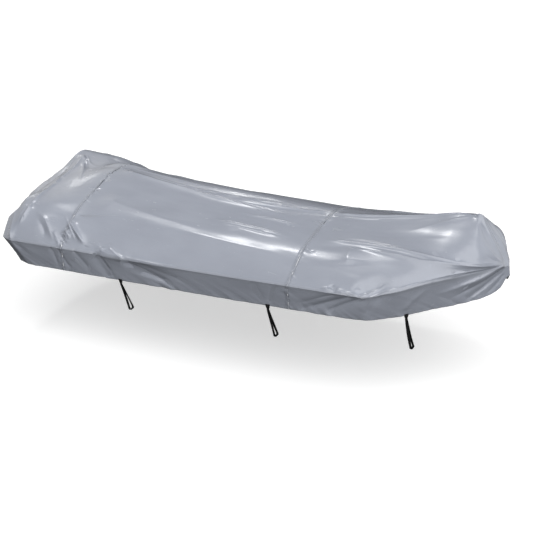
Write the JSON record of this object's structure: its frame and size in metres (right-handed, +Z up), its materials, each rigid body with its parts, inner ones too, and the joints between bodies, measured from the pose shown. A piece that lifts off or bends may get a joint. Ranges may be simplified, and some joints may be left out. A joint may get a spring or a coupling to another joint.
{
  "type": "boat cover",
  "caption": "Fitted grey boat cover in coated cloth, peaked at the bow, with felled cross seams, an upright skirt and black webbing tie-down loops along the hem.",
  "frame": {"origin": "underside of the cloth on the centre line of the top, where whatever the cover is fitted over carries it", "axes": "+X towards the bow, +Y to port, +Z up"},
  "size_m": [4.0217, 1.7595, 0.9319],
  "materials": {
    "coated_cloth": "smooth silver-grey coating, semi-gloss",
    "black_webbing": "matt woven"
  },
  "bodies": {
    "root": {"stern_panel": "coated_cloth", "middle_panel": "coated_cloth", "bow_panel": "coated_cloth", "starboard_tab_1": "black_webbing", "starboard_tab_2": "black_webbing", "starboard_tab_3": "black_webbing", "port_tab_1": "black_webbing", "port_tab_2": "black_webbing", "port_tab_3": "black_webbing", "starboard_strap_1": "black_webbing", "starboard_strap_2": "black_webbing", "starboard_strap_3": "black_webbing", "port_strap_1": "black_webbing", "port_strap_2": "black_webbing", "port_strap_3": "black_webbing"}
  },
  "joints": []
}
